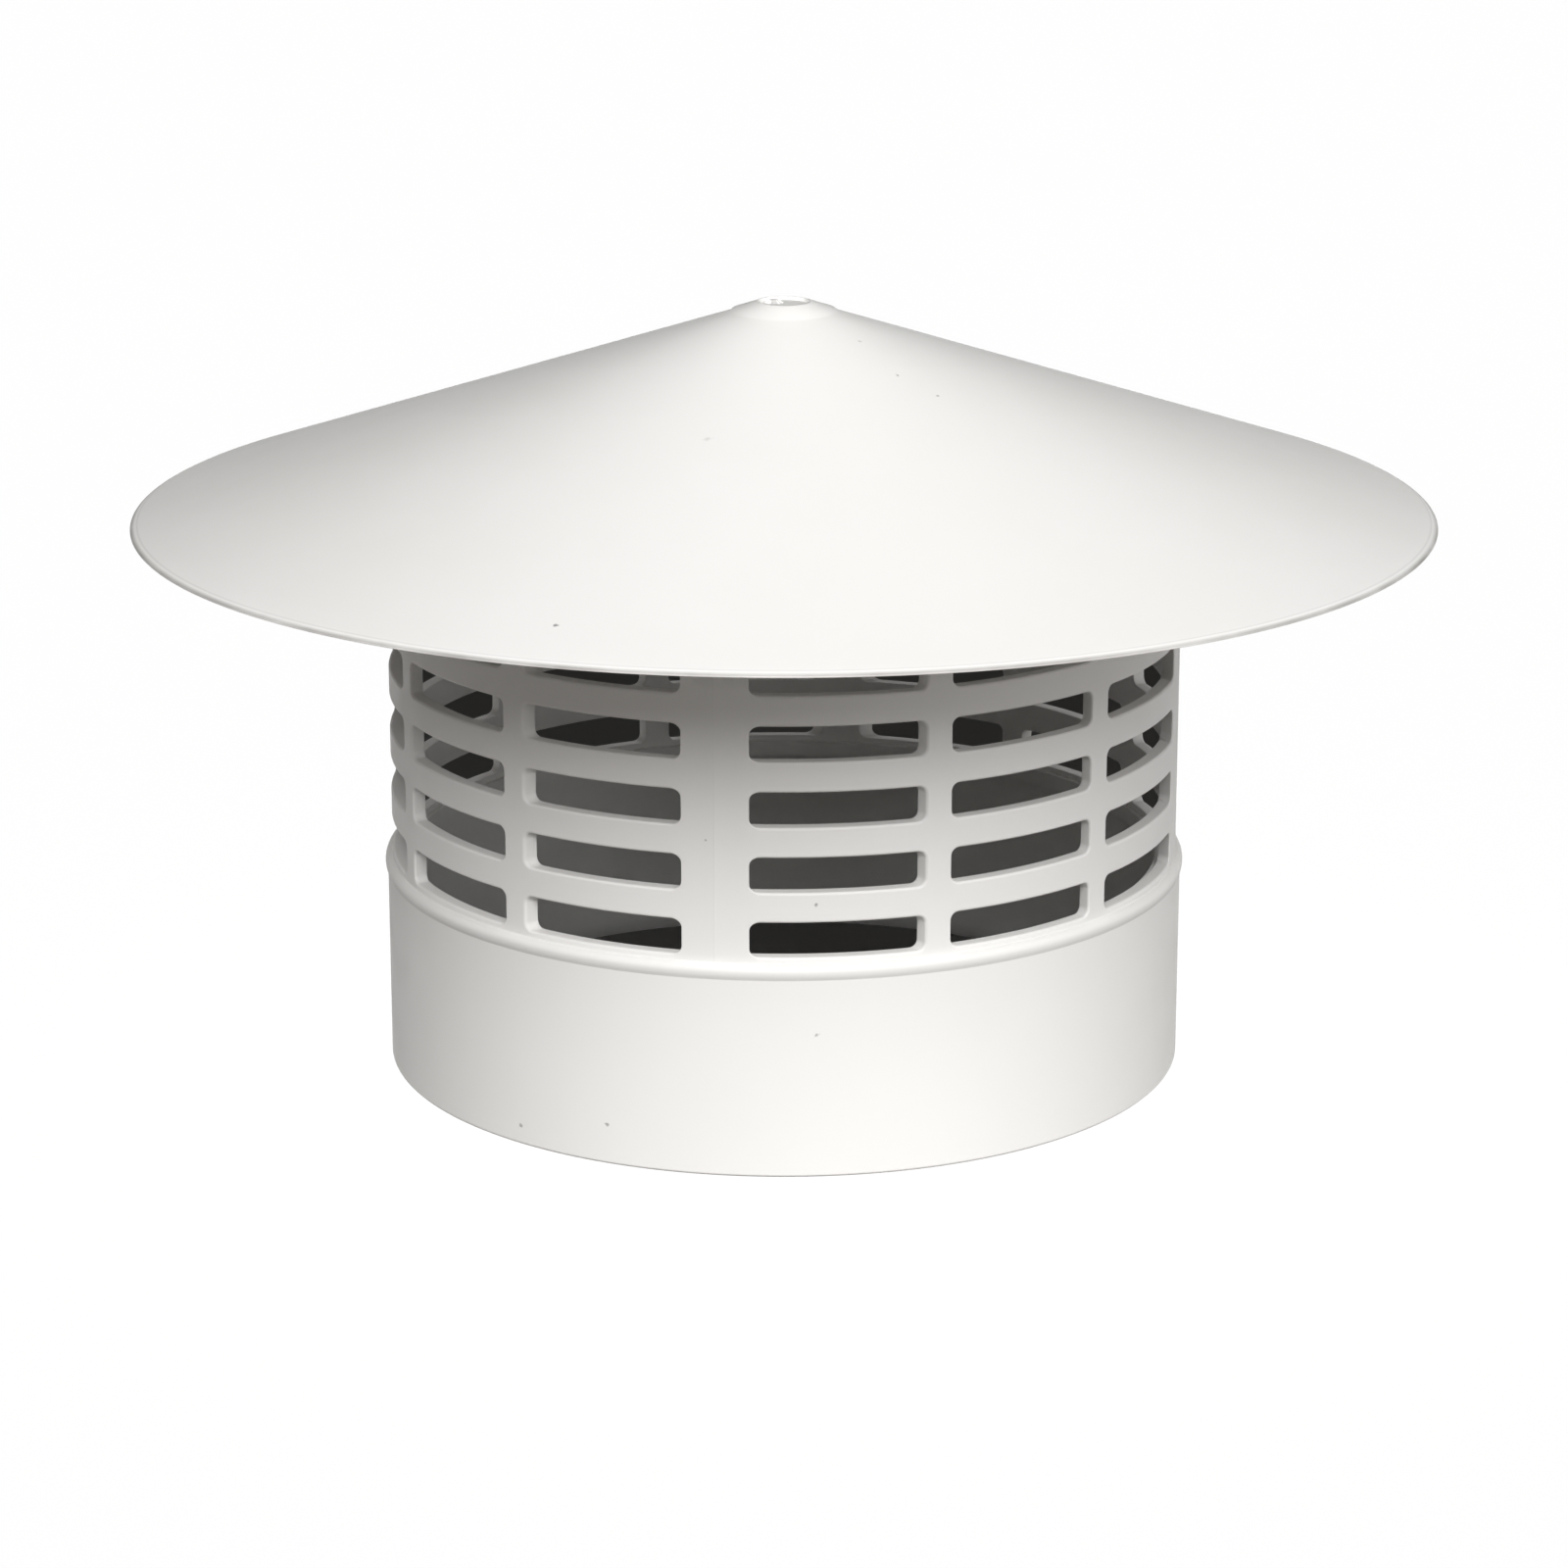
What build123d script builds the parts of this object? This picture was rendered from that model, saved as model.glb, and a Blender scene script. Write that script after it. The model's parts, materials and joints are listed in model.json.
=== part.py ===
"""Plastic chimney cap: a conical hat cemented on a slotted body that pushes over a vent pipe."""
import os
from math import asin, cos, pi, radians, sin, tan

from build123d import *

# The pipe that the cap goes over, and the socket that takes it
PIPE_DIAMETER = 110.0
SOCKET_CLEARANCE = 0.3
SOCKET_DEPTH = 28.2
COLLAR_WALL = 2.3
LEAD_IN_WIDTH = 1.3
LEAD_IN_HEIGHT = 2.5
COLLAR_EDGE_BEVEL = 0.4

# The ring that stops the pipe inside, level with the bead outside
STOP_RING_HEIGHT = 2.2
STOP_RING_WIDTH = 1.3
BEAD_PROUD = 0.35
BEAD_CREST = 0.6

# The slotted cage, which steps in above the bead
CAGE_STEP = 0.7
CAGE_WALL = 2.05
SILL_BAND = 0.85
TOP_BAND = 15.5

# The slots: four sides, each cut by a slide that is pulled straight out
SIDES = 4
COLUMNS_PER_SIDE = 3
SLOT_ROWS = 5
SLOT_HEIGHT = 4.85
BAR_HEIGHT = 4.25
RIB_WIDTH = 3.8
PARTING_RIB_WIDTH = 9.7

# The hat
HAT_DIAMETER = 185.6
HAT_PITCH = 18.5
HAT_WALL = 2.1
RIM_LIP = 0.2
RIM_BEVEL = 0.6

# The ring under the hat that sits on the cage, and its spigot inside the cage
SEAT_ROOT = 1.9
SPIGOT_LENGTH = 8.0
SPIGOT_WALL = 2.0
SPIGOT_CLEARANCE = 0.15
SPIGOT_CHAMFER = 0.5

# The trimmed moulding gate at the tip of the hat
GATE_DIAMETER = 7.6
GATE_BOSS_DIAMETER = 15.5
GATE_BOSS_RISE = 0.3

# Radii that follow from the pipe
bore_radius = PIPE_DIAMETER / 2 + SOCKET_CLEARANCE
collar_radius = bore_radius + COLLAR_WALL
cage_radius = collar_radius - CAGE_STEP
cage_inner_radius = cage_radius - CAGE_WALL
spigot_radius = cage_inner_radius - SPIGOT_CLEARANCE
hat_radius = HAT_DIAMETER / 2

# Heights of the body, and the slope of the hat
stop_top = SOCKET_DEPTH + STOP_RING_HEIGHT
first_sill = stop_top + SILL_BAND
slot_pitch = SLOT_HEIGHT + BAR_HEIGHT
body_height = first_sill + SLOT_ROWS * slot_pitch - BAR_HEIGHT + TOP_BAND
hat_slope = tan(radians(HAT_PITCH))
hat_drop = HAT_WALL / cos(radians(HAT_PITCH))


def hat_under(radius):
    """Height of the hat's inner cone at a radius."""
    return body_height + SEAT_ROOT + (cage_radius - radius) * hat_slope


def hat_top(radius):
    """Height of the hat's outer cone at a radius."""
    return hat_under(radius) + hat_drop


def turned(*points):
    """A solid turned about Z from a closed outline of (radius, height) points."""
    outline = Plane.XZ * Polyline(*points, close=True)
    return revolve(make_face(outline), Axis.Z)


def body_blank():
    """The body before its slots: collar, bead, stop ring and plain cage wall."""
    crest_radius = collar_radius + BEAD_PROUD
    crest_height = SOCKET_DEPTH + STOP_RING_HEIGHT / 2
    stop_radius = bore_radius - STOP_RING_WIDTH
    return turned(
        (bore_radius + LEAD_IN_WIDTH, 0),
        (collar_radius - COLLAR_EDGE_BEVEL, 0),
        (collar_radius, COLLAR_EDGE_BEVEL),
        (collar_radius, SOCKET_DEPTH),
        (crest_radius, crest_height - BEAD_CREST / 2),
        (crest_radius, crest_height + BEAD_CREST / 2),
        (cage_radius, stop_top),
        (cage_radius, body_height),
        (cage_inner_radius, body_height),
        (cage_inner_radius, stop_top),
        (stop_radius, stop_top),
        (stop_radius, SOCKET_DEPTH),
        (bore_radius, SOCKET_DEPTH),
        (bore_radius, LEAD_IN_HEIGHT),
    )


def column_spans():
    """Angles, from a slide's pull direction, where each column of slots starts and ends."""
    side_angle = 2 * pi / SIDES
    rib_angle = RIB_WIDTH / cage_radius
    ribs = (COLUMNS_PER_SIDE - 1) * rib_angle + PARTING_RIB_WIDTH / cage_radius
    slot_angle = (side_angle - ribs) / COLUMNS_PER_SIDE
    step = slot_angle + rib_angle
    middle = (COLUMNS_PER_SIDE - 1) / 2
    centres = [(column - middle) * step for column in range(COLUMNS_PER_SIDE)]
    return [(centre - slot_angle / 2, centre + slot_angle / 2) for centre in centres]


def slide_teeth():
    """The teeth of the slide that is pulled along +X: straight bars, square to the pull."""
    last_edge = cage_radius * sin(column_spans()[-1][1])
    wall_start = cage_inner_radius * cos(asin(last_edge / cage_inner_radius))
    reach_in = wall_start / 2
    teeth = []
    for start, end in column_spans():
        left = cage_radius * sin(start)
        right = cage_radius * sin(end)
        for row in range(SLOT_ROWS):
            middle = Pos((left + right) / 2, first_sill + row * slot_pitch + SLOT_HEIGHT / 2)
            tooth_end = Plane.YZ.offset(reach_in) * middle * Rectangle(right - left, SLOT_HEIGHT)
            teeth.append(extrude(tooth_end, collar_radius - reach_in))
    return teeth


def slotted_body():
    """The body with the slots of all its sides cut, and its parting lines on the X and Y axes."""
    side_angle = 360 / SIDES
    teeth = slide_teeth()
    cuts = [
        Rot(0, 0, (side + 0.5) * side_angle) * tooth
        for side in range(SIDES)
        for tooth in teeth
    ]
    return body_blank() - cuts


def hat():
    """The cone, with its bevelled rim, trimmed gate, seat ring and spigot."""
    bevel_radius = hat_radius - RIM_BEVEL
    rim_bottom = hat_top(hat_radius) - RIM_BEVEL * hat_slope - RIM_LIP
    rim_inner = cage_radius + (body_height + SEAT_ROOT - rim_bottom) / hat_slope
    gate_radius = GATE_DIAMETER / 2
    boss_radius = GATE_BOSS_DIAMETER / 2
    gate_height = hat_top(gate_radius) + GATE_BOSS_RISE
    spigot_bottom = body_height - SPIGOT_LENGTH
    spigot_inner = spigot_radius - SPIGOT_WALL
    return turned(
        (0, hat_under(boss_radius)),
        (boss_radius, hat_under(boss_radius)),
        (spigot_inner, hat_under(spigot_inner)),
        (spigot_inner, spigot_bottom),
        (spigot_radius - SPIGOT_CHAMFER, spigot_bottom),
        (spigot_radius, spigot_bottom + SPIGOT_CHAMFER),
        (spigot_radius, body_height),
        (cage_radius, body_height),
        (cage_radius, hat_under(cage_radius)),
        (rim_inner, rim_bottom),
        (hat_radius, rim_bottom),
        (hat_radius, rim_bottom + RIM_LIP),
        (bevel_radius, hat_top(bevel_radius)),
        (boss_radius, hat_top(boss_radius)),
        (boss_radius - GATE_BOSS_RISE, hat_top(boss_radius) + GATE_BOSS_RISE),
        (gate_radius, gate_height),
        (0, gate_height),
    )


os.makedirs("parts", exist_ok=True)
export_step(slotted_body(), "parts/slotted_body.step")
export_step(hat(), "parts/hat.step")
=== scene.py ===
"""Plastic chimney cap: a slotted vent body and a conical rain hat, moulded in satin white plastic."""

import json
from math import acos, cos, hypot, pi, radians, sin, tan

import bmesh
import bpy
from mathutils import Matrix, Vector


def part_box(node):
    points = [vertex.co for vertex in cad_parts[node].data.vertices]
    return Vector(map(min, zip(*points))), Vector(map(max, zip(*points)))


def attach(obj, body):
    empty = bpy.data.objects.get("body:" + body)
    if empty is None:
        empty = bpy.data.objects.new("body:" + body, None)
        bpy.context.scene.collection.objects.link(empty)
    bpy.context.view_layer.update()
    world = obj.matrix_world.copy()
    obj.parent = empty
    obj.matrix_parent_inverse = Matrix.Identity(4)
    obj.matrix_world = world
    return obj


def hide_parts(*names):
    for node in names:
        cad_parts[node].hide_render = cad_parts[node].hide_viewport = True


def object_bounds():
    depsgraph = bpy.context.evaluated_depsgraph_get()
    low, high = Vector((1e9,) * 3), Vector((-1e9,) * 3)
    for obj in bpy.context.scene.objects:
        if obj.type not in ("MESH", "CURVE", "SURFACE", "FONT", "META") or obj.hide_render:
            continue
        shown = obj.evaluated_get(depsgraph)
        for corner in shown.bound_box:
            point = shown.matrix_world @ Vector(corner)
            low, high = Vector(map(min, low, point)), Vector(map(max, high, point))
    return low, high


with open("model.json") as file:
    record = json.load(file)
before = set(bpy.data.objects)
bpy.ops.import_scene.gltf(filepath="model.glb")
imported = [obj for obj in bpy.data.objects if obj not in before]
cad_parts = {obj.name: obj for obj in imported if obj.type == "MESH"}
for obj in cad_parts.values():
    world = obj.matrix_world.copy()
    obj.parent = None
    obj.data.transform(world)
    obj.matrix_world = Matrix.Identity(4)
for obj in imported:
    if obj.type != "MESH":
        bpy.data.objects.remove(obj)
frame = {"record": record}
cad_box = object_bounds()

bl_info = {
    "name": "Chimney Cap",
    "version": (1, 0, 0),
    "blender": (4, 5, 0),
    "location": "View3D > Sidebar > Chimney Cap",
    "description": "Models a plastic chimney cap: slotted vent body, rain hat and a plain stage",
    "category": "Add Mesh",
}

# Millimetres to metres
MM = 0.001

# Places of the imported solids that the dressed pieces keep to
body_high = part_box("slotted_body")[1]
hat_low, hat_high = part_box("hat")
socket_radius = frame["record"]["mounts"][0]["dims"]["r_mm"] * MM

# How finely the turned pieces and their round edges are divided
TURN_STEPS = 192
ROUND_STEPS = 5
BEAD_STEPS = 10
RIM_STEPS = 10
RECESS_STEPS = 12
SLOT_EDGE_STEPS = 3
SLOT_INNER_EDGE_STEPS = 2
PARTING_STEPS = 2

# Two points closer than this are one
WELD = 0.002 * MM

# A point this close to a wall's radius lies on that wall
WALL_REACH = 0.02 * MM

# An edge of a slot turns by more than the first angle, and faces shade smooth up to the second
SLOT_EDGE_ANGLE = radians(20)
SMOOTH_ANGLE = radians(35)

# Shares of the cage's inner radius and of the collar's radius where a slide's tooth starts and ends
TOOTH_START = 1 / 3
TOOTH_END = 1.05

# Where the round of the gate's lip ends, by how many of its radii the recess is set in from it,
# and how wide the top of the broken sprue is to its foot
LIP_END = radians(153)
RECESS_INSET = 1.6
SPRUE_TAPER = 0.5

# How finely the noise of each finish is divided
CLOUD_SCALE = 28
# The next scale is that of the patches in the painted shade on the rim
RIM_SHADE_SCALE = 90
SHEEN_SCALE = 160
BLOTCH_SCALE = 240
SPECK_SCALE = 1500
GRAIN_SCALE = 2200

# Ranges of the noise: where most of it lies, where the clouds lie and where the dark blotches under
# the eave lie
NOISE_RANGE = (0.3, 0.7)
CLOUD_RANGE = (0.35, 0.7)
BLOTCH_RANGE = (0.46, 0.56)

# Line of painted shade on the rim's edge: how far in it starts and is full, and how dark the noise
# makes it
RIM_LINE_START = 0.65 * MM
RIM_LINE_FULL = 0.15 * MM
RIM_LINE_DARK = (0.5, 0.8)

# Faint line of painted shade inside the rim: how far in it lies, how far it fades to each side and how
# dark it is
INNER_LINE_PLACE = 1.0 * MM
INNER_LINE_FADE = 0.2 * MM
INNER_LINE_DARK = 0.16

# How dark the blotches under the eave are
BLOTCH_DARK = 0.3

# Shares of a speck's size where it is full and where it ends, and how the noise bends its outline
SPECK_FULL = 0.25
SPECK_END = 0.6
SPECK_BEND = (0.6, 1.6)

# Width of the camera's sensor in millimetres, and of the frame in pixels
SENSOR_WIDTH = 36
FRAME_PIXELS = 1600

# Specks of dirt: angle from the front, radius, height, size (mm) and how dark they are
HAT_SPECKS = (
    (-10.8, 84.14, 83.0, 0.75, 0.75),
    (50.2, 23.97, 103.1, 0.55, 0.55),
    (53.4, 30.37, 101.0, 0.5, 0.6),
    (56.2, 14.39, 106.3, 0.5, 0.3),
    (-0.2, 92.6, 79.9, 0.6, 0.45),
    (-6.1, 38.63, 98.2, 1.1, 0.2),
)
BODY_SPECKS = (
    (13.7, 56.9, 38.7, 0.5, 0.6),
    (13.8, 57.6, 20.5, 0.55, 0.5),
    (-29.8, 57.6, 2.7, 0.6, 0.6),
    (-15.4, 57.6, 5.8, 0.6, 0.6),
    (-1.2, 56.9, 47.5, 0.45, 0.5),
)


def size(name, description, default):
    """A length that a user may change."""
    return bpy.props.FloatProperty(
        name=name, description=description, default=default, min=0, precision=5, unit="LENGTH"
    )


def turn(name, description, degrees):
    """An angle that a user may change."""
    return bpy.props.FloatProperty(
        name=name, description=description, default=radians(degrees), subtype="ANGLE"
    )


def share(name, description, default):
    """A plain number that a user may change."""
    return bpy.props.FloatProperty(
        name=name, description=description, default=default, min=0, subtype="FACTOR"
    )


def count(name, description, default):
    """A whole number that a user may change."""
    return bpy.props.IntProperty(name=name, description=description, default=default, min=1)


def colour(name, description, default):
    """A linear colour that a user may change."""
    return bpy.props.FloatVectorProperty(
        name=name, description=description, default=default, min=0, max=1, subtype="COLOR"
    )


class CAP_PG_body(bpy.types.PropertyGroup):
    """Sizes of the vent body."""

    height: size("Height", "Height of the body up to the seat of the hat", body_high.z)
    bead_radius: size("Bead radius", "Radius of the bead at its crest", body_high.x)
    bore_radius: size("Bore radius", "Radius of the socket that takes the pipe", socket_radius)
    collar_wall: size("Collar wall", "Wall of the collar", 2.3 * MM)
    socket_depth: size("Socket depth", "Depth of the socket below the stop ring", 28.2 * MM)
    lead_in_width: size("Lead-in width", "How much wider the socket is at its mouth", 1.3 * MM)
    lead_in_height: size("Lead-in height", "Height of the wider mouth", 2.5 * MM)
    foot_round: size("Foot round", "Round on the outer bottom edge of the collar", 0.45 * MM)
    stop_height: size("Stop height", "Height of the stop ring, and of the bead outside it", 2.2 * MM)
    bead_flank: size("Bead flank", "How far below the stop ring the bead starts", 0.1 * MM)
    stop_width: size("Stop width", "How far the stop ring stands into the socket", 1.3 * MM)
    cage_step: size("Cage step", "How far the cage is set in from the collar", 0.7 * MM)
    cage_wall: size("Cage wall", "Wall of the slotted cage", 2.05 * MM)
    sill_band: size("Sill band", "Plain wall between the bead and the lowest slots", 0.85 * MM)
    seat_bevel: size("Seat bevel", "Bevel on the joint line under the hat", 0.15 * MM)
    sides: count("Sides", "Slides that cut the slots, each pulled straight out", 4)
    columns: count("Columns", "Columns of slots on each side", 3)
    rows: count("Rows", "Rows of slots", 5)
    slot_height: size("Slot height", "Height of a slot", 4.85 * MM)
    bar_height: size("Bar height", "Height of the bar between two slots", 4.25 * MM)
    rib_width: size("Rib width", "Width of the rib between two columns", 3.8 * MM)
    parting_rib_width: size("Parting rib width", "Width of the rib that two slides share", 9.7 * MM)
    slot_corner: size("Slot corner", "Round in the corners of a slot", 1.1 * MM)
    slot_edge: size("Slot edge", "Round on the outer edges of a slot", 0.4 * MM)
    slot_inner_edge: size("Slot inner edge", "Round on the inner edges of a slot", 0.18 * MM)
    parting_width: size("Parting line width", "Width of the fine ridge on a parting line", 0.3 * MM)
    parting_rise: size("Parting line rise", "Height of the fine ridge on a parting line", 0.05 * MM)


class CAP_PG_hat(bpy.types.PropertyGroup):
    """Sizes of the rain hat."""

    radius: size("Radius", "Radius of the rim", hat_high.x)
    rim_bottom: size("Rim bottom", "Height of the rim's lower edge", hat_low.z)
    tip_height: size("Tip height", "Height of the trimmed gate at the tip", hat_high.z)
    pitch: turn("Pitch", "Slope of the cone", 18.5)
    wall: size("Wall", "Wall of the cone", 2.1 * MM)
    rim_run: size("Rim run", "How far in from the rim its round starts", 1.5 * MM)
    rim_bevel: size("Rim bevel", "Bevel on the lower edge of the rim", 0.08 * MM)
    seat_fillet: size("Seat fillet", "Round where the ring on the seat runs into the cone", 1.0 * MM)
    spigot_length: size("Spigot length", "Length of the spigot inside the cage", 8.0 * MM)
    spigot_wall: size("Spigot wall", "Wall of the spigot", 2.0 * MM)
    spigot_clearance: size("Spigot clearance", "Gap between the spigot and the cage", 0.15 * MM)
    spigot_chamfer: size("Spigot chamfer", "Chamfer at the foot of the spigot", 0.5 * MM)
    boss_radius: size("Boss radius", "Radius of the low boss around the gate", 7.75 * MM)
    boss_rise: size("Boss rise", "How far the boss stands off the cone", 0.3 * MM)
    boss_shoulder: size("Boss shoulder", "Width of the sloping edge of the boss", 0.3 * MM)
    gate_radius: size("Gate radius", "Radius of the flat top of the boss", 3.8 * MM)
    gate_lip: size("Gate lip", "Round on the lip of the gate's recess", 0.3 * MM)
    gate_depth: size("Gate depth", "Depth of the gate's recess", 0.45 * MM)
    sprue_radius: size("Sprue radius", "Radius of the broken sprue in the recess", 1.3 * MM)
    sprue_rise: size("Sprue rise", "Height of the broken sprue above the recess", 0.42 * MM)
    sprue_left: size("Sprue left", "How far left of the axis the sprue stands", 1.6 * MM)
    sprue_back: size("Sprue back", "How far behind the axis the sprue stands", 1.0 * MM)


class CAP_PG_finish(bpy.types.PropertyGroup):
    """Colours and gloss of the plastic."""

    plastic: colour("Plastic", "Colour of the moulded plastic", (0.83, 0.823, 0.806))
    plastic_warm: colour("Warm plastic", "Colour of its warmer clouds", (0.818, 0.807, 0.786))
    # Colour of the specks of grime, and also of the painted shade on the hat's rim and of the blotches
    # under the eave
    dirt_and_shade: colour("Dirt", "Colour of specks and smudges", (0.16, 0.15, 0.14))
    roughness: share("Roughness", "Roughness of the satin surface", 0.5)
    roughness_spread: share("Roughness spread", "How much the roughness varies", 0.12)
    specular: share("Specular level", "How strongly the surface mirrors", 0.2)
    grain_depth: size("Grain depth", "Depth of the moulded grain", 0.012 * MM)
    grain_strength: share("Grain strength", "How strongly the moulded grain shows", 0.35)


class CAP_PG_stage(bpy.types.PropertyGroup):
    """Camera, light and floor."""

    camera_turn: turn("Camera turn", "How far right of the front the camera stands", 9.4)
    camera_pitch: turn("Camera pitch", "How far the camera looks down", 16.15)
    camera_distance: size("Camera distance", "Level distance from the axis", 668.6 * MM)
    camera_height: size("Camera height", "Height of the camera", 232.75 * MM)
    focal_pixels: share("Focal length", "Focal length in pixels of a 1600 pixel frame", 4884.4)
    key_turn: turn("Key turn", "How far right of the front the key lights stand", 12)
    key_spread: turn("Key spread", "How wide the key lights look from the object", 46)
    hat_key_rise: turn("Hat key rise", "How high the hat's key light stands", 16.5)
    hat_key_strength: share("Hat key strength", "Strength of the hat's key light", 5.65)
    body_key_rise: turn("Body key rise", "How high the body's key light stands", 44)
    body_key_strength: share("Body key strength", "Strength of the body's key light", 4.1)
    low_rise: turn("Low rise", "How high the side and back lights stand", 5)
    low_spread: turn("Low spread", "How wide the side and back lights look from the object", 60)
    right_turn: turn("Right turn", "How far right of the front the right light stands", 72)
    right_strength: share("Right strength", "Strength of the right light", 1.3)
    left_turn: turn("Left turn", "How far right of the front the left light stands", -75)
    left_strength: share("Left strength", "Strength of the left light", 0.25)
    back_turn: turn("Back turn", "How far right of the front the back light stands", 189)
    back_strength: share("Back strength", "Strength of the back light", 1.5)
    floor_lamp_radius: size("Floor lamp radius", "Radius of the floor's lamp", 0.3 * MM)
    floor_lamp_power: share("Floor lamp power", "Power of the floor's lamp", 552)
    card_share: share("Card place", "Share of the way from the floor's lamp to the cage", 0.15)
    card_low: size("Card low", "Height on the axis from which the card shades the cage", 5.0 * MM)
    card_high: size("Card high", "Height on the axis up to which it shades the cage", 75.0 * MM)
    sky_strength: share("Sky strength", "Strength of the even light all round", 0.055)
    sky_colour: colour("Sky colour", "Colour of the even light all round", (1.0, 0.96, 0.92))
    horizon_low: turn("Horizon low", "Height up to which the sky looks white", 5)
    horizon_high: turn("Horizon high", "Height from which the sky looks dim", 12)
    floor_colour: colour("Floor", "Colour of the floor", (0.3, 0.3, 0.3))
    floor_bounce: colour("Floor bounce", "Colour that the floor throws back", (0.053, 0.05, 0.047))
    floor_size: size("Floor size", "Width of the floor", 8.0)


def arc(centre, radius, start, end, steps):
    """(radius, height) points along an arc about a centre, both ends included."""
    angles = [start + (end - start) * step / steps for step in range(steps + 1)]
    return [(centre[0] + radius * cos(angle), centre[1] + radius * sin(angle)) for angle in angles]


def blend(start, corner, end, steps):
    """(radius, height) points along a curve that leaves its ends towards a corner, ends included."""
    shares = [step / steps for step in range(steps + 1)]
    return [tuple(start.lerp(corner, part).lerp(corner.lerp(end, part), part)) for part in shares]


def new_piece(name):
    """Starts a piece as one vertex at the origin, in edit mode."""
    bpy.ops.object.select_all(action="DESELECT")
    bpy.ops.mesh.primitive_plane_add(size=MM)
    piece = bpy.context.object
    piece.name = name
    piece.data.name = name
    bpy.ops.object.mode_set(mode="EDIT")
    bpy.ops.mesh.merge(type="CENTER")
    return piece


def select_where(piece, kind, wanted):
    """Selects the vertices, edges or faces that a test picks in edit mode, and counts them."""
    bpy.ops.mesh.select_mode(type=kind)
    bpy.ops.mesh.select_all(action="DESELECT")
    mesh = bmesh.from_edit_mesh(piece.data)
    elements = {"VERT": mesh.verts, "EDGE": mesh.edges, "FACE": mesh.faces}[kind]
    picked = [element for element in elements if wanted(element)]
    for element in picked:
        element.select_set(True)
    mesh.select_flush_mode()
    bmesh.update_edit_mesh(piece.data)
    return len(picked)


def draw_outline(points):
    """Draws a line through (radius, height) points from the one vertex at the origin."""
    bpy.ops.transform.translate(value=(points[0][0], 0, points[0][1]))
    for here, there in zip(points, points[1:]):
        step = (there[0] - here[0], 0, there[1] - here[1])
        bpy.ops.mesh.extrude_region_move(TRANSFORM_OT_translate={"value": step})


def close_outline(piece, points):
    """Joins the last point of an outline to its first."""
    ends = [Vector((radius, 0, height)) for radius, height in (points[0], points[-1])]
    select_where(piece, "VERT", lambda vert: any((vert.co - end).length < WELD for end in ends))
    bpy.ops.mesh.edge_face_add()


def turn_outline():
    """Turns the drawn outline about the Z axis into a closed skin."""
    bpy.ops.mesh.select_all(action="SELECT")
    bpy.ops.mesh.spin(steps=TURN_STEPS, angle=2 * pi, center=(0, 0, 0), axis=(0, 0, 1))
    bpy.ops.mesh.select_all(action="SELECT")
    bpy.ops.mesh.remove_doubles(threshold=WELD)
    bpy.ops.mesh.normals_make_consistent(inside=False)


def finish_piece(piece, node, material):
    """Smooths a modelled piece, gives it its material and sets it in the frame in place of a solid."""
    bpy.ops.object.select_all(action="DESELECT")
    piece.select_set(True)
    bpy.context.view_layer.objects.active = piece
    bpy.ops.object.shade_smooth_by_angle(angle=SMOOTH_ANGLE)
    weighted = piece.modifiers.new("weighted_normals", "WEIGHTED_NORMAL")
    weighted.keep_sharp = True
    bpy.ops.object.modifier_apply(modifier=weighted.name)
    piece.data.materials.clear()
    piece.data.materials.append(material)
    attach(piece, "root")
    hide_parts(node)


def collar_radius(body):
    """Outer radius of the collar."""
    return body.bore_radius + body.collar_wall


def cage_radius(body):
    """Outer radius of the slotted cage."""
    return collar_radius(body) - body.cage_step


def cage_inner_radius(body):
    """Inner radius of the slotted cage."""
    return cage_radius(body) - body.cage_wall


def first_sill(body):
    """Height of the lowest sill."""
    return body.socket_depth + body.stop_height + body.sill_band


def last_head(body):
    """Height of the top edge of the highest slots."""
    return first_sill(body) + body.rows * (body.slot_height + body.bar_height) - body.bar_height


def body_outline(body):
    """Section of the body's wall: up the outside with its foot and bead, and down the inside."""
    collar = collar_radius(body)
    cage = cage_radius(body)
    cage_inner = cage_inner_radius(body)
    stop_top = body.socket_depth + body.stop_height
    stop_radius = body.bore_radius - body.stop_width
    foot = arc((collar - body.foot_round, body.foot_round), body.foot_round, -pi / 2, 0, ROUND_STEPS)
    bead_round = body.stop_height / 2
    bead_centre = (body.bead_radius - bead_round, body.socket_depth + bead_round)
    bead_end = acos((cage - bead_centre[0]) / bead_round)
    flank = blend(
        Vector((collar, body.socket_depth - body.bead_flank)),
        Vector((body.bead_radius, bead_centre[1] - bead_round / 2)),
        Vector((body.bead_radius, bead_centre[1])),
        ROUND_STEPS,
    )
    bead = flank[:-1] + arc(bead_centre, bead_round, 0, bead_end, BEAD_STEPS)
    return [
        (body.bore_radius + body.lead_in_width, 0),
        *foot,
        *bead,
        (cage, body.height - body.seat_bevel),
        (cage - body.seat_bevel, body.height),
        (cage_inner, body.height),
        (cage_inner, stop_top),
        (stop_radius, stop_top),
        (stop_radius, body.socket_depth),
        (body.bore_radius, body.socket_depth),
        (body.bore_radius, body.lead_in_height),
    ]


def column_spans(body):
    """Angles, from a slide's pull direction, where each column of slots starts and ends."""
    radius = cage_radius(body)
    rib = body.rib_width / radius
    ribs = (body.columns - 1) * rib + body.parting_rib_width / radius
    slot = (2 * pi / body.sides - ribs) / body.columns
    middle = (body.columns - 1) / 2
    centres = [(column - middle) * (slot + rib) for column in range(body.columns)]
    return [(centre - slot / 2, centre + slot / 2) for centre in centres]


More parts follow.
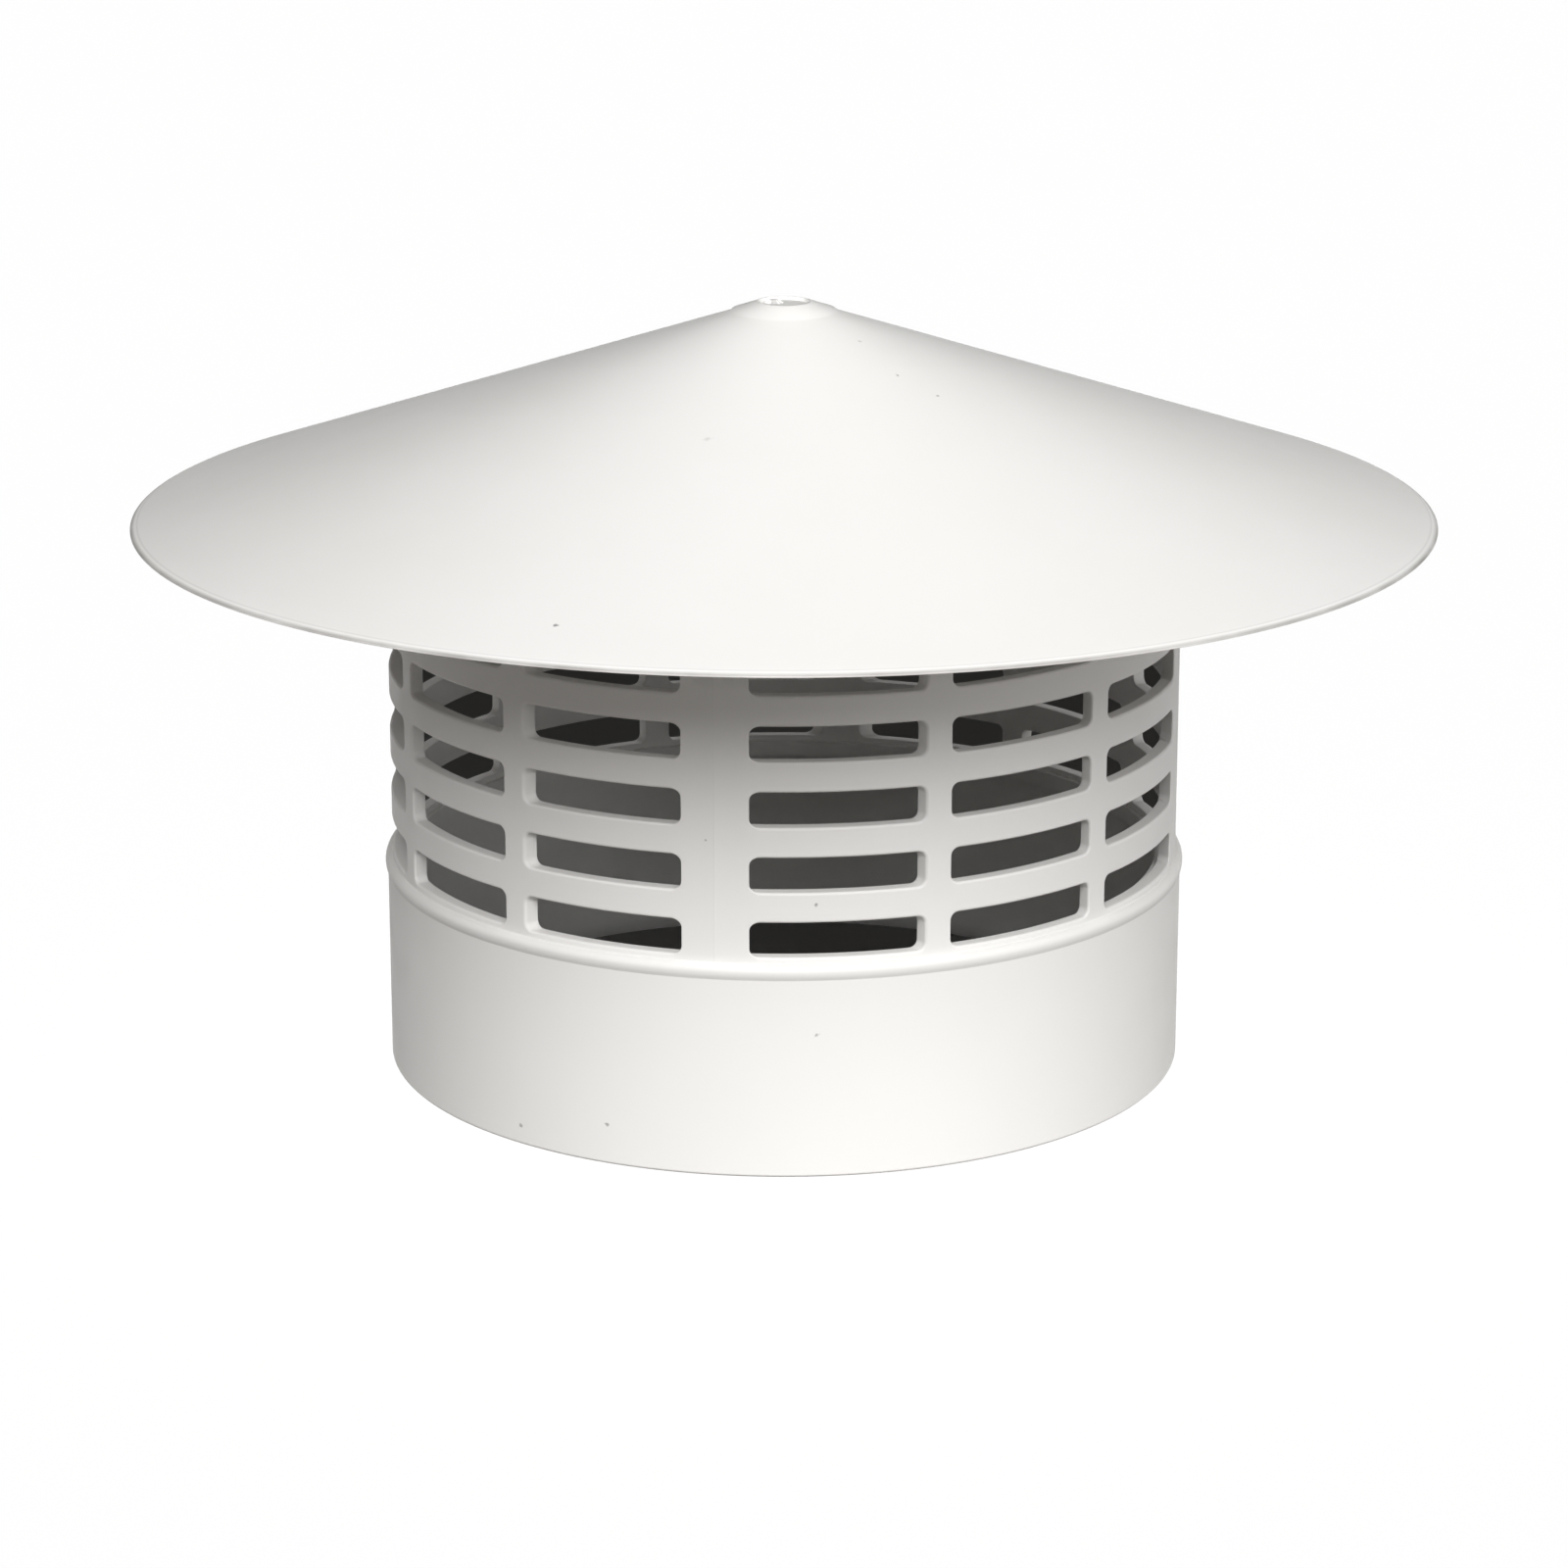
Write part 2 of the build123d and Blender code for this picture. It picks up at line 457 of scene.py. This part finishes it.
def slide_teeth(body):
    """Models the teeth of all the slides: straight bars with round corners, square to their pull."""
    radius = cage_radius(body)
    reach_in = cage_inner_radius(body) * TOOTH_START
    reach_out = collar_radius(body) * TOOTH_END
    slot_middle = first_sill(body) + body.slot_height / 2
    teeth = new_piece("slide_teeth")
    bpy.ops.mesh.delete(type="VERT")
    for start, end in column_spans(body):
        left = radius * sin(start)
        right = radius * sin(end)
        middle = ((reach_in + reach_out) / 2, (left + right) / 2, slot_middle)
        extent = (reach_out - reach_in, right - left, body.slot_height)
        bpy.ops.mesh.primitive_cube_add(size=1, location=middle, scale=extent)

    def along_pull(edge):
        first, second = edge.verts
        return abs(first.co.x - second.co.x) > (reach_out - reach_in) / 2

    select_where(teeth, "EDGE", along_pull)
    bpy.ops.mesh.bevel(offset=body.slot_corner, segments=ROUND_STEPS, affect="EDGES")
    bpy.ops.mesh.select_mode(type="FACE")
    bpy.ops.mesh.select_all(action="SELECT")
    for row in range(1, body.rows):
        lift = (0, 0, body.slot_height + body.bar_height)
        bpy.ops.mesh.duplicate_move(TRANSFORM_OT_translate={"value": lift})
    bpy.ops.mesh.select_all(action="SELECT")
    side_angle = 2 * pi / body.sides
    bpy.ops.transform.rotate(value=side_angle / 2, orient_axis="Z", center_override=(0, 0, 0))
    for side in range(1, body.sides):
        bpy.ops.mesh.duplicate()
        bpy.ops.transform.rotate(value=side_angle, orient_axis="Z", center_override=(0, 0, 0))
    bpy.ops.mesh.select_all(action="SELECT")
    bpy.ops.mesh.normals_make_consistent(inside=False)
    bpy.ops.object.mode_set(mode="OBJECT")
    return teeth


def cut_slots(piece, body):
    """Cuts the slots out of the body's wall with the teeth of the slides."""
    bpy.ops.object.mode_set(mode="OBJECT")
    teeth = slide_teeth(body)
    bpy.ops.object.select_all(action="DESELECT")
    piece.select_set(True)
    bpy.context.view_layer.objects.active = piece
    cut = piece.modifiers.new("slots", "BOOLEAN")
    cut.operation = "DIFFERENCE"
    cut.solver = "EXACT"
    cut.object = teeth
    bpy.ops.object.modifier_apply(modifier=cut.name)
    bpy.data.objects.remove(teeth)
    bpy.ops.object.mode_set(mode="EDIT")


def on_wall(vert, radius):
    """Whether a vertex lies on the wall of a radius."""
    return abs(hypot(vert.co.x, vert.co.y) - radius) < WALL_REACH


def round_slot_edges(piece, body, radius, width, segments):
    """Rounds the edges where the slots break through the wall at a radius."""
    low = first_sill(body) - body.sill_band / 2
    high = last_head(body) + body.bar_height / 2

    def slot_edge(edge):
        cut = all(on_wall(vert, radius) and low < vert.co.z < high for vert in edge.verts)
        return cut and edge.calc_face_angle(0) > SLOT_EDGE_ANGLE

    if not select_where(piece, "EDGE", slot_edge):
        raise RuntimeError("no slot edges were found to round")
    bpy.ops.mesh.bevel(offset=width, segments=segments, affect="EDGES", clamp_overlap=False)


def raise_parting_lines(piece, body):
    """Raises the fine ridge that two slides leave where they meet, on each parting rib."""
    radius = cage_radius(body)
    bead_top = body.socket_depth + body.stop_height

    def on_line(vert):
        on_axis = min(abs(vert.co.x), abs(vert.co.y)) < WELD
        return on_axis and on_wall(vert, radius) and vert.co.z > bead_top - WELD

    if not select_where(piece, "EDGE", lambda edge: all(on_line(vert) for vert in edge.verts)):
        raise RuntimeError("no parting lines were found")
    bpy.ops.mesh.bevel(offset=body.parting_width / 2, segments=PARTING_STEPS, affect="EDGES")
    grow = 1 + body.parting_rise / radius
    select_where(piece, "VERT", on_line)
    bpy.ops.transform.resize(value=(grow, grow, 1), center_override=(0, 0, 0))


def hat_top(hat, radius):
    """Height of the hat's outer cone at a radius."""
    return hat.tip_height - hat.boss_rise + (hat.gate_radius - radius) * tan(hat.pitch)


def hat_under(hat, radius):
    """Height of the hat's inner cone at a radius."""
    return hat_top(hat, radius) - hat.wall / cos(hat.pitch)


def hat_outline(hat, body):
    """Section of the hat from the axis under the cone, round the spigot and rim, to the tip."""
    cage = cage_radius(body)
    spigot = cage_inner_radius(body) - hat.spigot_clearance
    spigot_inner = spigot - hat.spigot_wall
    spigot_bottom = body.height - hat.spigot_length
    under_root = hat_under(hat, cage)
    fillet = hat.seat_fillet
    fillet_turn = pi / 2 + hat.pitch
    fillet_run = fillet * tan(fillet_turn / 2)
    fillet_centre = (cage + fillet, under_root - fillet_run)
    seat_round = arc(fillet_centre, fillet, pi, pi - fillet_turn, ROUND_STEPS)
    rim_inner = cage + (under_root - hat.rim_bottom) / tan(hat.pitch)
    rim_radius = hat.radius - 2 * WELD
    rim_start = Vector((rim_radius, hat.rim_bottom + hat.rim_bevel))
    rim_corner = Vector((rim_radius, hat_top(hat, rim_radius)))
    rim_end = Vector((hat.radius - hat.rim_run, hat_top(hat, hat.radius - hat.rim_run)))
    rim = blend(rim_start, rim_corner, rim_end, RIM_STEPS)
    boss = hat.boss_radius
    boss_edge = boss - hat.boss_shoulder
    lip_centre = (hat.gate_radius, hat.tip_height - hat.gate_lip)
    lip = arc(lip_centre, hat.gate_lip, pi / 2 - hat.pitch, LIP_END, ROUND_STEPS)
    recess_floor = hat.tip_height - hat.gate_depth
    recess_radius = hat.gate_radius - RECESS_INSET * hat.gate_lip
    recess = [
        (recess_radius * step / RECESS_STEPS, recess_floor) for step in range(RECESS_STEPS, -1, -1)
    ]
    return [
        (0, hat_under(hat, boss)),
        (boss, hat_under(hat, boss)),
        (spigot_inner, hat_under(hat, spigot_inner)),
        (spigot_inner, spigot_bottom),
        (spigot - hat.spigot_chamfer, spigot_bottom),
        (spigot, spigot_bottom + hat.spigot_chamfer),
        (spigot, body.height),
        (cage - body.seat_bevel, body.height),
        (cage, body.height + body.seat_bevel),
        *seat_round,
        (rim_inner, hat.rim_bottom),
        (hat.radius - hat.rim_bevel, hat.rim_bottom),
        *rim,
        (boss, hat_top(hat, boss)),
        (boss_edge, hat_top(hat, boss_edge) + hat.boss_rise),
        *lip,
        *recess,
    ]


def raise_sprue(piece, hat):
    """Raises the stub of the broken sprue from the floor of the gate's recess."""
    middle = Vector((-hat.sprue_left, hat.sprue_back, hat.tip_height - hat.gate_depth))

    def under_sprue(face):
        gap = face.calc_center_median() - middle
        return gap.length < hat.sprue_radius and abs(gap.z) < WELD

    if not select_where(piece, "FACE", under_sprue):
        raise RuntimeError("the recess of the gate has no faces under the sprue")
    bpy.ops.mesh.extrude_region_move(TRANSFORM_OT_translate={"value": (0, 0, hat.sprue_rise)})
    bpy.ops.transform.resize(value=(SPRUE_TAPER, SPRUE_TAPER, 1), center_override=middle)


class NodeBoard:
    """A material's nodes, added by kind and linked as they are made."""

    def __init__(self, tree):
        self.tree = tree
        self.tree.nodes.clear()

    def add(self, kind, inputs=None, **settings):
        """Adds a node with settings, and inputs that are values or other nodes' outputs."""
        node = self.tree.nodes.new(kind)
        for name, value in settings.items():
            setattr(node, name, value)
        for socket, value in (inputs or {}).items():
            self.feed(node.inputs[socket], value)
        return node

    def feed(self, socket, value):
        """Links an output to a socket, or sets its value."""
        if isinstance(value, bpy.types.NodeSocket):
            self.tree.links.new(value, socket)
        else:
            socket.default_value = value

    def maths(self, operation, first, second=0.0):
        """A number worked out from two others."""
        node = self.add("ShaderNodeMath", {0: first, 1: second}, operation=operation)
        return node.outputs[0]

    def ramp(self, value, low, high, start=0.0, end=1.0):
        """A number brought from one range to another, and kept inside it."""
        node = self.add(
            "ShaderNodeMapRange",
            {"Value": value, "From Min": low, "From Max": high, "To Min": start, "To Max": end},
        )
        return node.outputs[0]

    def noise(self, place, scale, detail):
        """Noise at a place."""
        node = self.add("ShaderNodeTexNoise", {"Vector": place, "Scale": scale, "Detail": detail})
        return node.outputs[0]

    def mix(self, factor, first, second):
        """A colour mixed from two others."""
        node = self.add("ShaderNodeMix", {0: factor, 6: first, 7: second}, data_type="RGBA")
        return node.outputs[2]


def opaque(shade):
    """A colour property with a full alpha."""
    return (*shade, 1.0)


def speck_place(angle, radius, height):
    """A point on the object, from its angle from the front, radius and height in millimetres."""
    return Vector((radius * sin(radians(angle)), -radius * cos(radians(angle)), height)) * MM


def dirt_specks(board, place, specks):
    """How dark each point is with the listed specks of grime, from none at 0 to full at 1."""
    bend = board.ramp(board.noise(place, SPECK_SCALE, 1), *NOISE_RANGE, *SPECK_BEND)
    dark = 0.0
    for angle, radius, height, width, strength in specks:
        middle = speck_place(angle, radius, height)
        gap = board.add("ShaderNodeVectorMath", {0: place, 1: middle}, operation="DISTANCE")
        edge = board.maths("MULTIPLY", gap.outputs["Value"], bend)
        speck = board.ramp(edge, SPECK_FULL * width * MM, SPECK_END * width * MM, strength, 0)
        dark = board.maths("MAXIMUM", speck, dark)
    return dark


def rim_painted_shade(board, place, hat):
    """How dark the painted shade is on the rim's edge and in the line inside it, from none at 0 to
    full at 1.
    """
    level = board.add("ShaderNodeVectorMath", {0: place, 1: (1, 1, 0)}, operation="MULTIPLY")
    length = board.add("ShaderNodeVectorMath", {0: level.outputs[0]}, operation="LENGTH")
    radius = length.outputs["Value"]
    # Painted shade: a dark line along the rim's edge, broken into patches by noise
    line = board.ramp(radius, hat.radius - RIM_LINE_START, hat.radius - RIM_LINE_FULL)
    patches = board.ramp(board.noise(place, RIM_SHADE_SCALE, 3), *NOISE_RANGE, *RIM_LINE_DARK)
    edge = board.maths("MULTIPLY", line, patches)
    # Painted shade: a faint dark line a little inside the rim
    inward = board.maths("SUBTRACT", hat.radius - INNER_LINE_PLACE, radius)
    inner = board.ramp(board.maths("ABSOLUTE", inward), 0, INNER_LINE_FADE, INNER_LINE_DARK, 0)
    return board.maths("MAXIMUM", edge, inner)


def eave_blotches(board, place, body):
    """How dark the noise blotches are, fading in across the highest row of slots and full above it
    under the eave, from none at 0 to full at 1.
    """
    height = board.add("ShaderNodeSeparateXYZ", {0: place}).outputs["Z"]
    band = board.ramp(height, last_head(body) - body.bar_height, last_head(body))
    blotches = board.ramp(board.noise(place, BLOTCH_SCALE, 4), *BLOTCH_RANGE, 0, BLOTCH_DARK)
    return board.maths("MULTIPLY", band, blotches)


def satin_plastic(name, finish, specks, shade_and_blotches):
    """White rigid plastic as it leaves the mould: satin, faintly clouded, with specks of grime and the
    darker marks of a given mask (painted shade on the hat's rim, blotches under the eave on the body).
    """
    material = bpy.data.materials.new(name)
    material.use_nodes = True
    board = NodeBoard(material.node_tree)
    place = board.add("ShaderNodeTexCoord").outputs["Object"]
    clouds = board.ramp(board.noise(place, CLOUD_SCALE, 3), *CLOUD_RANGE)
    clean = board.mix(clouds, opaque(finish.plastic), opaque(finish.plastic_warm))
    # Specks of grime and the given mask (painted shade on the hat's rim, blotches under the eave on
    # the body) darken the plastic towards that colour
    dirt_and_shade_mask = board.maths("MAXIMUM", dirt_specks(board, place, specks), shade_and_blotches(board, place))
    tone = board.mix(dirt_and_shade_mask, clean, opaque(finish.dirt_and_shade))
    sheen = board.noise(place, SHEEN_SCALE, 4)
    low = finish.roughness - finish.roughness_spread / 2
    rough = board.ramp(sheen, *NOISE_RANGE, low, low + finish.roughness_spread)
    grain = board.add(
        "ShaderNodeBump",
        {
            "Height": board.noise(place, GRAIN_SCALE, 2),
            "Distance": finish.grain_depth,
            "Strength": finish.grain_strength,
        },
    )
    shader = board.add(
        "ShaderNodeBsdfPrincipled",
        {
            "Base Color": tone,
            "Roughness": rough,
            "Normal": grain.outputs[0],
            "Specular IOR Level": finish.specular,
        },
    )
    board.add("ShaderNodeOutputMaterial", {"Surface": shader.outputs[0]})
    return material


def seen_directly(board):
    """1 for what the camera sees straight, in a reflection or through a clear piece."""
    rays = board.add("ShaderNodeLightPath").outputs
    seen = board.maths("MAXIMUM", rays["Is Camera Ray"], rays["Is Glossy Ray"])
    return board.maths("MAXIMUM", seen, rays["Is Transmission Ray"])


def pale_floor(stage):
    """A pale floor with the object's shadow, which throws little light back up."""
    material = bpy.data.materials.new("pale_floor")
    material.use_nodes = True
    board = NodeBoard(material.node_tree)
    shown = board.add("ShaderNodeBsdfDiffuse", {"Color": opaque(stage.floor_colour)})
    bounce = board.add("ShaderNodeBsdfDiffuse", {"Color": opaque(stage.floor_bounce)})
    seen = seen_directly(board)
    both = board.add("ShaderNodeMixShader", {0: seen, 1: bounce.outputs[0], 2: shown.outputs[0]})
    board.add("ShaderNodeOutputMaterial", {"Surface": both.outputs[0]})
    return material


def studio_sky(stage):
    """A dim even light all round, with a white band above the edge of the floor."""
    world = bpy.data.worlds.new("studio_sky")
    world.use_nodes = True
    board = NodeBoard(world.node_tree)
    direction = board.add("ShaderNodeTexCoord").outputs["Generated"]
    rise = board.add("ShaderNodeSeparateXYZ", {0: direction}).outputs["Z"]
    band = board.ramp(rise, sin(stage.horizon_low), sin(stage.horizon_high), 1, 0)
    white = board.maths("MULTIPLY", band, seen_directly(board))
    strength = board.ramp(white, 0, 1, stage.sky_strength, 1)
    tone = board.mix(white, opaque(stage.sky_colour), opaque((1, 1, 1)))
    sky = board.add("ShaderNodeBackground", {"Color": tone, "Strength": strength})
    board.add("ShaderNodeOutputWorld", {"Surface": sky.outputs[0]})
    bpy.context.scene.world = world


def add_floor(stage):
    """Adds the floor under the object."""
    bpy.ops.object.select_all(action="DESELECT")
    bpy.ops.mesh.primitive_plane_add(size=stage.floor_size, location=(0, 0, cad_box[0].z))
    floor = bpy.context.object
    floor.name = "floor"
    floor.data.materials.append(pale_floor(stage))
    return floor


def light_only(lamp, lit):
    """Keeps a lamp's light on the given objects."""
    receivers = bpy.data.collections.new(lamp.name + "_lights")
    for each in lit:
        receivers.objects.link(each)
    lamp.light_linking.receiver_collection = receivers


def add_lamp(name, turn_right, rise, spread, strength, lit, glossy=True):
    """A far, wide lamp that lights the given objects, from right of the front and a height."""
    bpy.ops.object.light_add(type="SUN", rotation=(pi / 2 - rise, 0, turn_right))
    lamp = bpy.context.object
    lamp.name = name
    lamp.data.energy = strength
    lamp.data.angle = spread
    lamp.visible_glossy = glossy
    light_only(lamp, lit)


def light_pieces(stage, hat, body):
    """Adds the key lights of the hat and the body, and the low side and back lights of both."""
    hat_key = (stage.key_turn, stage.hat_key_rise, stage.key_spread, stage.hat_key_strength)
    body_key = (stage.key_turn, stage.body_key_rise, stage.key_spread, stage.body_key_strength)
    add_lamp("hat_key", *hat_key, [hat])
    add_lamp("body_key", *body_key, [body])
    low_lamps = (
        ("right_light", stage.right_turn, stage.right_strength),
        ("left_light", stage.left_turn, stage.left_strength),
        ("back_light", stage.back_turn, stage.back_strength),
    )
    for name, turn_right, strength in low_lamps:
        low = (turn_right, stage.low_rise, stage.low_spread, strength)
        add_lamp(name, *low, [hat, body], glossy=False)


def add_slot_card(stage, place, body):
    """A small card before the floor's lamp, unseen by the camera, that shades the slots from it."""
    shaded = Vector((0, 0, (stage.card_low + stage.card_high) / 2))
    bpy.ops.object.select_all(action="DESELECT")
    bpy.ops.mesh.primitive_plane_add(
        size=1,
        location=place.lerp(shaded, stage.card_share),
        rotation=(pi / 2, 0, stage.camera_turn),
    )
    card = bpy.context.object
    card.name = "slot_card"
    width = 2 * cage_inner_radius(body) * stage.card_share
    height = (stage.card_high - stage.card_low) * stage.card_share
    card.scale = (width, height, 1)
    card.visible_camera = False


def add_floor_lamp(stage, place, floor):
    """A small lamp for the floor alone, whose light grows with distance and so lies even on it."""
    bpy.ops.object.light_add(type="POINT", radius=stage.floor_lamp_radius, location=place)
    lamp = bpy.context.object
    lamp.name = "floor_light"
    lamp.visible_camera = False
    lamp.data.energy = stage.floor_lamp_power
    lamp.data.use_nodes = True
    board = NodeBoard(lamp.data.node_tree)
    steady = board.add("ShaderNodeLightFalloff", {"Strength": 1.0}).outputs["Constant"]
    distance = board.add("ShaderNodeLightPath").outputs["Ray Length"]
    glow = board.add("ShaderNodeEmission", {"Strength": board.maths("MULTIPLY", steady, distance)})
    board.add("ShaderNodeOutputLight", {"Surface": glow.outputs[0]})
    light_only(lamp, [floor])


def add_camera(stage, place):
    """Sets the camera at its place, level from side to side and looking down at the object."""
    aim = (pi / 2 - stage.camera_pitch, 0, stage.camera_turn)
    bpy.ops.object.camera_add(location=place, rotation=aim)
    camera = bpy.context.object
    camera.name = "front_camera"
    camera.data.sensor_width = SENSOR_WIDTH
    camera.data.lens = SENSOR_WIDTH * stage.focal_pixels / FRAME_PIXELS
    bpy.context.scene.camera = camera


class CAP_OT_vent_body(bpy.types.Operator):
    """Model the collar, bead and slotted cage as one moulding"""

    bl_idname = "cap.vent_body"
    bl_label = "Vent Body"
    bl_options = {"REGISTER", "UNDO"}

    def execute(self, context):
        """Turns the wall, cuts the slots, rounds their edges and raises the parting lines."""
        body = context.scene.cap_body
        outline = body_outline(body)
        piece = new_piece("vent_body")
        draw_outline(outline)
        close_outline(piece, outline)
        turn_outline()
        cut_slots(piece, body)
        outer, inner = cage_radius(body), cage_inner_radius(body)
        round_slot_edges(piece, body, outer, body.slot_edge, SLOT_EDGE_STEPS)
        round_slot_edges(piece, body, inner, body.slot_inner_edge, SLOT_INNER_EDGE_STEPS)
        raise_parting_lines(piece, body)
        bpy.ops.object.mode_set(mode="OBJECT")
        finish = context.scene.cap_finish
        plastic = satin_plastic(
            "body_plastic", finish, BODY_SPECKS, lambda board, place: eave_blotches(board, place, body)
        )
        finish_piece(piece, "slotted_body", plastic)
        return {"FINISHED"}


class CAP_OT_rain_hat(bpy.types.Operator):
    """Model the conical hat with its rim, trimmed gate, seat and spigot"""

    bl_idname = "cap.rain_hat"
    bl_label = "Rain Hat"
    bl_options = {"REGISTER", "UNDO"}

    def execute(self, context):
        """Turns the section of the hat and raises the stub of the sprue."""
        hat = context.scene.cap_hat
        piece = new_piece("rain_hat")
        draw_outline(hat_outline(hat, context.scene.cap_body))
        turn_outline()
        raise_sprue(piece, hat)
        bpy.ops.object.mode_set(mode="OBJECT")
        finish = context.scene.cap_finish
        # The hat's plastic gets painted shade along its rim
        plastic = satin_plastic(
            "hat_plastic", finish, HAT_SPECKS, lambda board, place: rim_painted_shade(board, place, hat)
        )
        finish_piece(piece, "hat", plastic)
        return {"FINISHED"}


class CAP_OT_stage(bpy.types.Operator):
    """Set the floor, the lamps and the camera"""

    bl_idname = "cap.stage"
    bl_label = "Stage"
    bl_options = {"REGISTER", "UNDO"}

    def execute(self, context):
        """Adds the floor, sky, lamps and camera."""
        stage = context.scene.cap_stage
        floor = add_floor(stage)
        studio_sky(stage)
        light_pieces(stage, bpy.data.objects["rain_hat"], bpy.data.objects["vent_body"])
        away = stage.camera_distance
        right, front = away * sin(stage.camera_turn), away * cos(stage.camera_turn)
        place = Vector((right, -front, stage.camera_height))
        add_floor_lamp(stage, place, floor)
        add_slot_card(stage, place, context.scene.cap_body)
        add_camera(stage, place)
        context.scene.view_settings.view_transform = "Standard"
        return {"FINISHED"}


class CAP_PT_panel(bpy.types.Panel):
    """Lists the pieces of the chimney cap"""

    bl_idname = "CAP_PT_panel"
    bl_label = "Chimney Cap"
    bl_space_type = "VIEW_3D"
    bl_region_type = "UI"
    bl_category = "Chimney Cap"

    def draw(self, context):
        """Shows a button and the settings for each piece and the stage, and those of the finish."""
        for operator, group in STEPS:
            self.layout.operator(operator)
            self.list_settings(getattr(context.scene, group))
        self.list_settings(context.scene.cap_finish)

    def list_settings(self, settings):
        """Shows the settings of one group."""
        for name in settings.bl_rna.properties.keys():
            if name not in ("rna_type", "name"):
                self.layout.prop(settings, name)


STEPS = (("cap.vent_body", "cap_body"), ("cap.rain_hat", "cap_hat"), ("cap.stage", "cap_stage"))
GROUPS = {
    "cap_body": CAP_PG_body,
    "cap_hat": CAP_PG_hat,
    "cap_finish": CAP_PG_finish,
    "cap_stage": CAP_PG_stage,
}
CLASSES = (*GROUPS.values(), CAP_OT_vent_body, CAP_OT_rain_hat, CAP_OT_stage, CAP_PT_panel)


def register():
    """Registers the classes and hangs their settings on the scene."""
    for each in CLASSES:
        bpy.utils.register_class(each)
    for name, group in GROUPS.items():
        setattr(bpy.types.Scene, name, bpy.props.PointerProperty(type=group))


def unregister():
    """Takes the settings and the classes away again."""
    for name in GROUPS:
        delattr(bpy.types.Scene, name)
    for each in reversed(CLASSES):
        bpy.utils.unregister_class(each)


def main():
    """Models the pieces and the stage in order."""
    register()
    bpy.ops.cap.vent_body()
    bpy.ops.cap.rain_hat()
    bpy.ops.cap.stage()


if __name__ == "__main__":
    main()
